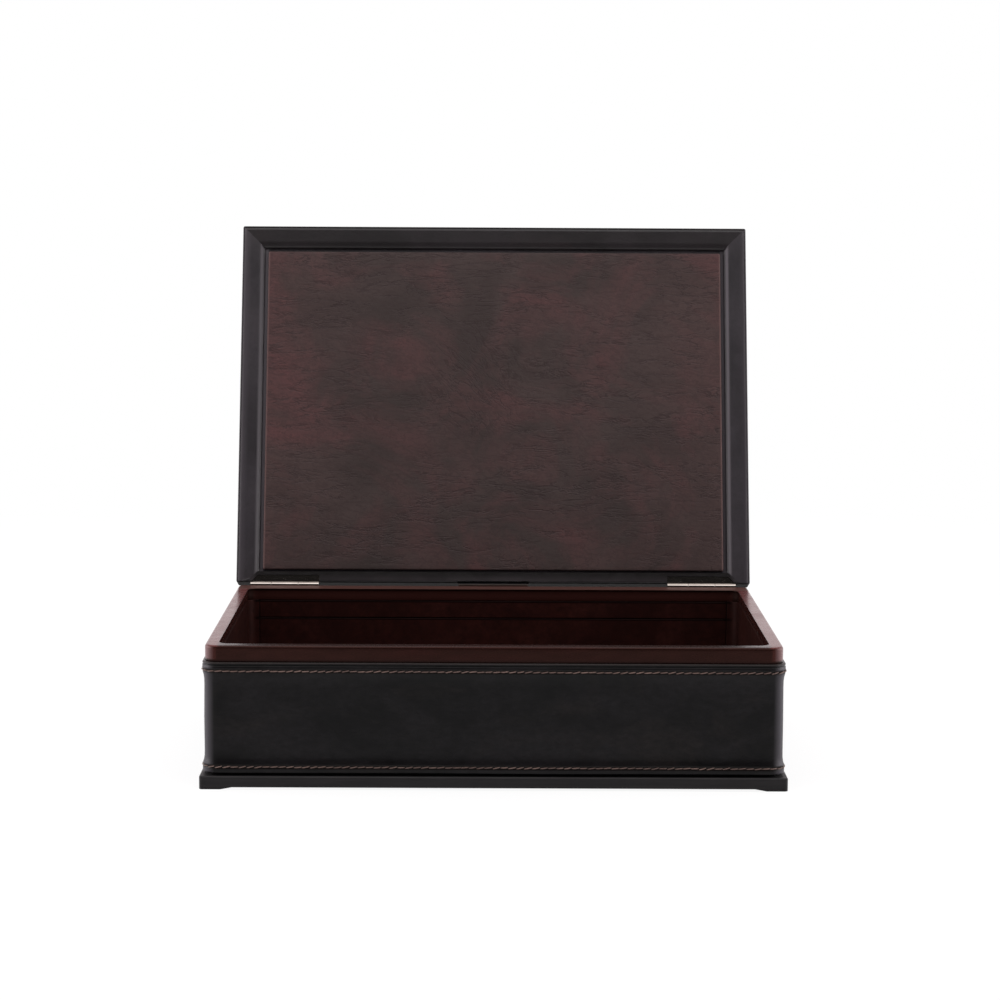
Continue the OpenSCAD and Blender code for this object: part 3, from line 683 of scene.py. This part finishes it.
def band_section():
    """The black band from its lower edge up, as (out, height) with out counted from the rim's face."""
    low = band_low.z
    top = band_high.z
    hem = rim_low.y - upper_hem_low.y
    flat = rim_low.y - band_low.y
    upper_stitch, lower_stitch = upper_seam, lower_seam
    return [
        (0.2 * MM, low - 0.3 * MM), (hem - 0.3 * MM, low - 0.3 * MM), (hem - 0.08 * MM, low - 0.15 * MM),
        (hem, low + 0.2 * MM),
        (hem, lower_stitch - 1.3 * MM), (hem - 0.05 * MM, lower_stitch - 0.7 * MM),
        (hem - 0.5 * MM, lower_stitch), (hem - 0.12 * MM, lower_stitch + 0.7 * MM),
        (hem - 0.25 * MM, lower_stitch + 1.6 * MM), (flat + 0.35 * MM, lower_stitch + 3.2 * MM),
        (flat + 0.05 * MM, lower_stitch + 5.5 * MM), (flat, lower_stitch + 9 * MM),
        (flat + 0.12 * MM, (lower_stitch + upper_stitch) / 2), (flat, upper_stitch - 9 * MM),
        (flat + 0.05 * MM, upper_stitch - 5.5 * MM), (flat + 0.35 * MM, upper_stitch - 3.2 * MM),
        (hem - 0.25 * MM, upper_stitch - 1.6 * MM), (hem - 0.12 * MM, upper_stitch - 0.7 * MM),
        (hem - 0.5 * MM, upper_stitch), (hem - 0.05 * MM, upper_stitch + 0.7 * MM),
        (hem, upper_stitch + 1.5 * MM), (hem - 0.05 * MM, top - 2.25 * MM), (hem - 0.95 * MM, top - 1.75 * MM),
        (hem - 0.25 * MM, top - 1.4 * MM), (hem - 0.05 * MM, top - 1.0 * MM), (hem - 0.25 * MM, top - 0.5 * MM),
        (hem - 0.7 * MM, top - 0.15 * MM), (hem - 1.2 * MM, top), (0.0, top - 0.1 * MM),
    ], upper_stitch, lower_stitch


def wobble(point, amount, scale=14.0):
    """Smooth noise at a point, used for the unevenness of hand worked leather."""
    return amount * noise.noise(point * scale)


def make_band():
    """Black leather band with folded, stitched hems, drawn in a little between them."""
    section, upper_stitch, lower_stitch = band_section()
    loops = []
    for out, z in section:
        loop = []
        middle = min(1.0, (z - band_low.z) / (12 * MM), (band_high.z - z) / (12 * MM))
        for p, q in zip(case_loop(out, z), case_loop(out + 1 * MM, z)):
            outward = (q - p) / MM
            swell = wobble(p, 0.35 * MM) * middle + wobble(p, 0.12 * MM, 60.0)
            lift = wobble(p, 0.18 * MM, 11.0) if out > 0.5 * MM and middle < 0.9 else 0.0
            loop.append(p + outward * swell + Vector((0, 0, lift)))
        loops.append(loop)
    loops.append(case_loop(-0.4 * MM, band_high.z - 0.4 * MM))
    loops.append(case_loop(-0.4 * MM, band_low.z + 0.2 * MM))
    piece = loft("band_leather", loops, black_band, "case", ["leather_band", "upper_hem", "lower_hem"])
    make_stitches("upper", upper_stitch, ["upper_stitching"])
    make_stitches("lower", lower_stitch, ["lower_stitching"])


def along_case(distance, out):
    """The point at a distance round the case's outline, grown by out, and the direction outward there."""
    r = CORNER_R + out
    half_x = rim_high.x + out - r
    low_y = rim_low.y - out + r
    high_y = rim_high.y + out - r
    legs = [
        (Vector((-half_x, low_y - r, 0)), Vector((1, 0, 0)), 2 * half_x),
        (Vector((half_x + r, low_y, 0)), Vector((0, 1, 0)), high_y - low_y),
        (Vector((half_x, high_y + r, 0)), Vector((-1, 0, 0)), 2 * half_x),
        (Vector((-half_x - r, high_y, 0)), Vector((0, -1, 0)), high_y - low_y),
    ]
    turn = 0.5 * math.pi * r
    for start, heading, length in legs:
        if distance < length:
            return start + heading * distance, Vector((heading.y, -heading.x, 0))
        distance -= length
        if distance < turn:
            a = distance / r
            outward = Vector((heading.y, -heading.x, 0))
            centre = start + heading * length - outward * r
            outward = math.cos(a) * outward + math.sin(a) * heading
            return centre + outward * r, outward
        distance -= turn
    return along_case(0.0, out)


def make_stitches(name, z, replaced):
    """A row of separate slanted stitches round the case, each a thread that dives in at both ends."""
    pitch = 4.5 * MM
    length = 4.4 * MM
    slant = math.radians(8)
    thread_r = 0.36 * MM
    hem = rim_low.y - upper_hem_low.y
    out = hem + 0.02 * MM
    r = CORNER_R + out
    around = 4 * (rim_high.x + out - r) + 2 * (rim_high.y - rim_low.y + 2 * out - 2 * r) + 2 * math.pi * r
    count = round(around / pitch)
    rings, sides = 7, 8
    verts, faces = [], []
    for i in range(count):
        middle = around * i / count
        tilt = slant + math.radians(random.uniform(-6, 6))
        long = length * random.uniform(0.93, 1.05)
        dz = random.uniform(-0.12, 0.12) * MM
        first = len(verts)
        for ring in range(rings):
            t = ring / (rings - 1) * 2 - 1
            s = (middle + t * long / 2 * math.cos(tilt)) % around
            point, outward = along_case(s, out)
            sink = 0.42 * MM * abs(t) ** 3.0 - 0.05 * MM
            point = point + outward * (thread_r * 0.35 - sink)
            point.z = z + dz + t * long / 2 * math.sin(tilt)
            radius = thread_r * (1 - 0.45 * abs(t) ** 4)
            for side in range(sides):
                a = 2 * math.pi * side / sides
                up = Vector((0, 0, 1))
                verts.append(point + radius * (math.cos(a) * outward + math.sin(a) * up))
        for ring in range(rings - 1):
            for side in range(sides):
                a = first + ring * sides + side
                b = first + ring * sides + (side + 1) % sides
                faces.append((a, b, b + sides, a + sides))
        faces.append(tuple(first + side for side in range(sides))[::-1])
        faces.append(tuple(first + (rings - 1) * sides + side for side in range(sides)))
    piece = new_object(name + "_stitches", verts, faces, thread, "case", replaced)
    face_outward(piece)


def make_base():
    """Plinth, feet, base board and felt, with their edges eased."""
    for side in ("front", "back"):
        softened("plinth_" + side, 0.35 * MM, plinth_x, 1.3 * MM)
    for side in ("left", "right"):
        softened("plinth_" + side, 0.35 * MM, plinth_y, 1.3 * MM)
    for end in ("front", "back"):
        for side in ("left", "right"):
            softened(f"foot_{end}_{side}", 0.25 * MM, plinth_x)
    softened("base_board", 0.3 * MM, plinth_x)
    softened("base_felt", 0.2 * MM, felt)


def make_lining():
    """Stiff leather lining of the well, in its separate pieces."""
    for node in ("front", "left", "right", "back_upper", "back_lower"):
        softened("lining_" + node, 0.45 * MM, brown_lining)
    softened("floor_lining", 0.3 * MM, brown_lining)
    softened("back_tab", 0.35 * MM, tab_leather)
    for node in ("floor_panel", "wall_front", "wall_back", "wall_left", "wall_right"):
        dress(node, inner_wood)
    for end in ("front", "back"):
        for side in ("left", "right"):
            dress(f"corner_strip_{end}_{side}", inner_wood)


def dress(node, material):
    """Gives a node that keeps its own solid its material."""
    mesh = frame["nodes"][node].data
    mesh.materials.clear()
    mesh.materials.append(material)


# Hinges

def make_hinges():
    """Leaves and knuckles with eased edges, pins and nails."""
    for side in ("left", "right"):
        softened(f"{side}_hinge_case_leaf", 0.12 * MM, nickel, segments=2)
        softened(f"{side}_hinge_lid_leaf", 0.12 * MM, nickel, segments=2)
        dress(f"{side}_hinge_pin", nickel)
    dress("case_hinge_nails", nickel)
    dress("lid_hinge_nails", nickel)


# The lid, built shut and then swung open

lid_low, lid_high = shut_box("lid_cover")
board_low, board_high = shut_box("lid_board")
front_low, front_high = shut_box("lid_border_front")
back_low, back_high = shut_box("lid_border_back")
left_low, left_high = shut_box("lid_border_left")
panel_low, panel_high = shut_box("lid_panel")


def open_up(piece):
    """Swings a piece that was built on the shut lid to the open lid."""
    for v in piece.data.vertices:
        v.co = opened(v.co)
    piece.data.update()


def lid_loop(inset, z, radius):
    """The lid's outline, drawn in by inset, at height z."""
    low = (lid_low.x + inset, lid_low.y + inset)
    high = (lid_high.x - inset, lid_high.y - inset)
    return rounded_outline(low, high, max(radius - inset, 0.2 * MM), z, arc_steps=6)


def make_lid_cover():
    """Black leather over the lid's outside and edges, with rounded arrises."""
    edge_r = 1.2 * MM
    lip_r = 0.7 * MM
    skin = board_low.x - lid_low.x
    corner = 1.2 * MM
    section = [(skin, lid_low.z + 0.1 * MM)]
    section += [(lip_r - a, b) for a, b in arc((0, lid_low.z + lip_r), lip_r, -90, 0, 4)]
    section += [(0.0, lid_low.z + 3 * MM), (0.0, lid_high.z - 2 * edge_r)]
    section += [(edge_r - a, b) for a, b in arc((0, lid_high.z - edge_r), edge_r, 0, 90, 6)]
    section += [(6 * MM, lid_high.z), (30 * MM, lid_high.z), (70 * MM, lid_high.z), (110 * MM, lid_high.z)]
    loops = [lid_loop(skin, board_high.z, corner)]
    loops += [lid_loop(inset, z, corner) for inset, z in section]
    piece = loft("lid_leather", loops, black_cover, "lid", ["lid_cover"], capped=True)
    carve(piece, lid_seats())
    # the lid's back edge face takes the near black material: painted shade for the gap over the rim
    piece.data.materials.append(lid_gap_shade)
    for polygon in piece.data.polygons:
        if polygon.center.y > lid_high.y - 0.8 * MM and polygon.normal.y > 0.5:
            polygon.material_index = 1
    open_up(piece)
    dress("lid_board", black_side_border)


def lid_seats():
    """Cutters for the hinges' leaves and knuckles in the shut lid, and for the notch over the tab."""
    seats = knuckle_seats()
    below = lid_low.z - 3 * MM
    for side, way in (("left", -1), ("right", 1)):
        seats.append(leaf_seat(side + "_hinge_lid_leaf", way, below))
    tab_low, tab_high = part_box("back_tab")
    gap = 0.6 * MM
    near, far = tab_low.x - gap, tab_high.x + gap
    front, behind = tab_low.y - gap, lid_high.y + 2 * MM
    corners = [(near, front), (far, front), (far, behind), (near, behind)]
    seats.append(prism("tab_notch", [Vector((x, y, below)) for x, y in corners],
                       [Vector((x, y, front_high.z)) for x, y in corners]))
    return seats


def leaf_seat(node, way, below):
    """Cutter for one hinge leaf in the shut lid: its outline, grown a little, with its outer corner cut off."""
    points = [shutting @ (v.co - pivot) + pivot for v in frame["nodes"][node].data.vertices]
    low, high = shut_box(node)
    gap = 0.1 * MM
    outer = max(way * p.x for p in points)
    inner = min(way * p.x for p in points)
    clip = outer - max(way * p.x for p in points if p.y < low.y + 0.05 * MM) + gap * (2 - math.sqrt(2))
    near, far, edge = inner - gap, outer + gap, low.y - gap
    corners = [(near, high.y), (near, edge), (far - clip, edge), (far, edge + clip), (far, high.y)]
    top = max(p.z for p in points if p.y < low.y + 0.05 * MM)
    return prism(node + "_seat", [Vector((way * x, y, below)) for x, y in corners],
                 [Vector((way * x, y, top)) for x, y in corners])


def moulding_section(flat_width, bevel, height, fall):
    """A border's section as (across, up): its flat faces down on the shut lid, and its bevel climbs inward by fall."""
    ease = 0.35 * MM
    face = [(0.0, height), (0.0, ease), (ease, 0.0)]
    face += [(flat_width * k / 6, 0.0) for k in range(1, 6)]
    face += [(flat_width - 0.5 * MM, 0.0), (flat_width - 0.15 * MM, 0.1 * fall), (flat_width + 0.2 * MM, 0.15 * fall)]
    face += [(flat_width + 0.75 * bevel * k / 3, fall * (k + 0.2) / 3.2) for k in (1, 2, 3)]
    face += [(flat_width + 0.9 * bevel, 0.8 * fall + 0.2 * height), (flat_width + bevel, height)]
    return face


def make_moulding(name, node, section, origin, run, inward, length, start_cut, end_cut, material=black_side_border):
    """A border moulding along run from origin. The cuts give how far each end is cut back at a point across."""
    steps = 48
    verts, faces = [], []
    for k in range(steps + 1):
        t = k / steps
        for across, up in section:
            start = start_cut(across)
            end = length - end_cut(across)
            point = origin + run * (start + (end - start) * t) + inward * across + Vector((0, 0, up))
            point.z += wobble(point, 0.06 * MM, 30.0) * (1.0 if up < 0.1 * MM else 0.0)
            verts.append(point)
    count = len(section)
    for k in range(steps):
        for i in range(count):
            a = k * count + i
            b = k * count + (i + 1) % count
            faces.append((a, b, b + count, a + count))
    faces.append(tuple(range(count))[::-1])
    faces.append(tuple(steps * count + i for i in range(count)))
    piece = new_object(name, verts, faces, material, "lid", [node])
    face_outward(piece)
    piece.data.set_sharp_from_angle(angle=math.radians(50))
    return piece


def make_borders():
    """The four mitred mouldings round the panel."""
    height = front_high.z - front_low.z
    bevel = 2.6 * MM
    spare = 0.7 * MM
    side_width = left_high.x - left_low.x
    front_width = front_high.y - front_low.y
    back_width = back_high.y - back_low.y
    side = moulding_section(side_width - bevel, bevel + spare, height, 0.5 * height)
    front = moulding_section(front_width - bevel, bevel + spare, height, 0.2 * height)
    back = moulding_section(back_width - bevel, bevel, height, 0.01 * height)
    base = Vector((0, 0, front_low.z))
    low = Vector((board_low.x, board_low.y, 0)) + base
    high = Vector((board_high.x, board_high.y, 0)) + base
    wide = board_high.x - board_low.x
    deep = board_high.y - board_low.y
    right = Vector((1, 0, 0))
    back_way = Vector((0, 1, 0))

    def mitre(across):
        return across

    def short_mitre(across):
        return max(0.0, across - (side_width - back_width))

    def back_mitre(across):
        return across + side_width - back_width

    pieces = [
        make_moulding("front_border", "lid_border_front", front, low, right, back_way, wide, mitre, mitre,
                      front_border_painted_darker),
        make_moulding("left_border", "lid_border_left", side, low, back_way, right, deep, mitre, short_mitre),
        make_moulding("right_border", "lid_border_right", side, Vector((high.x, low.y, low.z)), back_way, -right,
                      deep, mitre, short_mitre),
    ]
    rear = make_moulding("back_border", "lid_border_back", back, Vector((low.x, high.y, low.z)), right, -back_way,
                         wide, back_mitre, back_mitre, black_hinge_border)
    carve(rear, lid_seats())
    for piece in pieces + [rear]:
        open_up(piece)


def make_panel():
    """The brown leather panel, with rolled edges and a slightly uneven face."""
    edge_r = 0.8 * MM
    low_z = panel_low.z
    high_z = panel_high.z
    section = [(0.0, high_z), (0.0, low_z + 2 * edge_r)]
    section += [(edge_r - a, b) for a, b in [(x, low_z + edge_r - y) for x, y in arc((0, 0), edge_r, 0, 90, 5)]]
    section += [(3 * MM, low_z), (12 * MM, low_z)]
    loops = []
    for inset, z in section:
        low = (panel_low.x + inset, panel_low.y + inset)
        high = (panel_high.x - inset, panel_high.y - inset)
        loops.append(rounded_outline(low, high, max(1.2 * MM - inset, 0.15 * MM), z, arc_steps=4))
    piece = loft("panel_leather", loops, brown_panel, "lid", ["lid_panel"], capped=True)
    open_up(piece)


make_rim()
make_band()
make_base()
make_lining()
make_hinges()
make_lid_cover()
make_borders()
make_panel()


# Floor, light and camera

def make_floor():
    """A white floor that keeps a faint shadow of the box."""
    mesh = bpy.data.meshes.new("floor")
    size = 8.0
    mesh.from_pydata([(-size, -size, 0), (size, -size, 0), (size, size, 0), (-size, size, 0)], [], [(0, 1, 2, 3)])
    floor = bpy.data.objects.new("floor", mesh)
    bpy.context.scene.collection.objects.link(floor)
    n = new_material("pale_floor")
    speckle = n.noise(n.place, 300.0, 3.0)
    colour = n.blend(n.spread(speckle, 0.3, 0.7), srgb(240, 240, 241), srgb(246, 246, 246))
    n.finish(colour, 0.9, None, 0.0)
    glow = n.add("ShaderNodeEmission")
    mix = n.add("ShaderNodeMixShader")
    away = n.spread(n.distance((0, 0, 0)), 0.25, 1.2, 0.88, 1.0)
    n.link(n.math("MULTIPLY", n.seen("Camera", "Glossy", "Transmission"), away), mix.inputs[0])
    n.link(n.tree.nodes["Principled BSDF"].outputs[0], mix.inputs[1])
    n.link(glow.outputs[0], mix.inputs[2])
    n.link(mix.outputs[0], n.tree.nodes["Material Output"].inputs["Surface"])
    mesh.materials.append(n.owner)


def area_light(name, place, aim, width, height, strength):
    """A soft rectangular lamp that looks from place at aim. Strength is how bright its face is."""
    data = bpy.data.lights.new(name, "AREA")
    data.shape = "RECTANGLE"
    data.size = width
    data.size_y = height
    data.energy = strength * width * height * math.pi
    lamp = bpy.data.objects.new(name, data)
    bpy.context.scene.collection.objects.link(lamp)
    lamp.location = place
    lamp.rotation_euler = (Vector(aim) - Vector(place)).to_track_quat("-Z", "Y").to_euler()
    lamp.visible_camera = False
    return lamp


def make_world():
    """White where the camera sees past the object, and a room that is white above, behind and at the sides."""
    world = bpy.data.worlds.new("studio")
    bpy.context.scene.world = world
    n = Nodes(world, "Generated")
    beside = n.math("MULTIPLY", n.math("ABSOLUTE", n.across("X")), 0.5)
    above = n.math("MULTIPLY", n.across("Z"), 0.9)
    shade = n.spread(n.math("ADD", n.across("Y"), n.math("ADD", beside, above)), -0.4, 0.3, 0.02, 1.4)
    shade.node.interpolation_type = "SMOOTHSTEP"
    shade = n.math("MULTIPLY", shade, n.spread(n.across("Y"), 0.3, 0.9, 1.0, 0.88))
    strength = n.add("ShaderNodeMix")
    n.link(n.seen("Camera"), strength.inputs[0])
    n.link(shade, strength.inputs[2])
    strength.inputs[3].default_value = 1.0
    background = n.tree.nodes["Background"]
    n.link(n.blend(n.seen("Camera"), (1.0, 0.94, 0.955), (1.0, 1.0, 1.0)), background.inputs["Color"])
    n.link(strength.outputs[0], background.inputs["Strength"])


def make_camera():
    """The camera as solved from the photograph's straight edges."""
    lens = 103.7
    place = Vector((-6.4, -1765.06, 352.8)) * MM
    pitch = math.radians(6.656)
    yaw = math.radians(0.327)
    roll = math.radians(0.301)
    ahead = Vector((math.sin(yaw) * math.cos(pitch), math.cos(yaw) * math.cos(pitch), -math.sin(pitch)))
    right = Vector((math.cos(yaw), -math.sin(yaw), 0))
    up = right.cross(ahead)
    right, up = math.cos(roll) * right + math.sin(roll) * up, math.cos(roll) * up - math.sin(roll) * right
    data = bpy.data.cameras.new("camera")
    data.lens = lens
    data.sensor_width = 36
    camera = bpy.data.objects.new("camera", data)
    bpy.context.scene.collection.objects.link(camera)
    matrix = Matrix((right, up, -ahead)).transposed().to_4x4()
    matrix.translation = place
    camera.matrix_world = matrix
    bpy.context.scene.camera = camera


make_floor()
make_world()
area_light("softbox_above", (0, -0.8, 1.8), (0, 0, 0.15), 1.8, 1.1, 1.4)
area_light("softbox_left", (-1.6, -0.1, 0.42), (0, 0, 0.15), 1.2, 0.7, 4.4)
area_light("softbox_right", (1.6, -0.1, 0.42), (0, 0, 0.15), 1.2, 0.7, 4.4)
make_camera()
bpy.context.scene.view_settings.view_transform = "Standard"
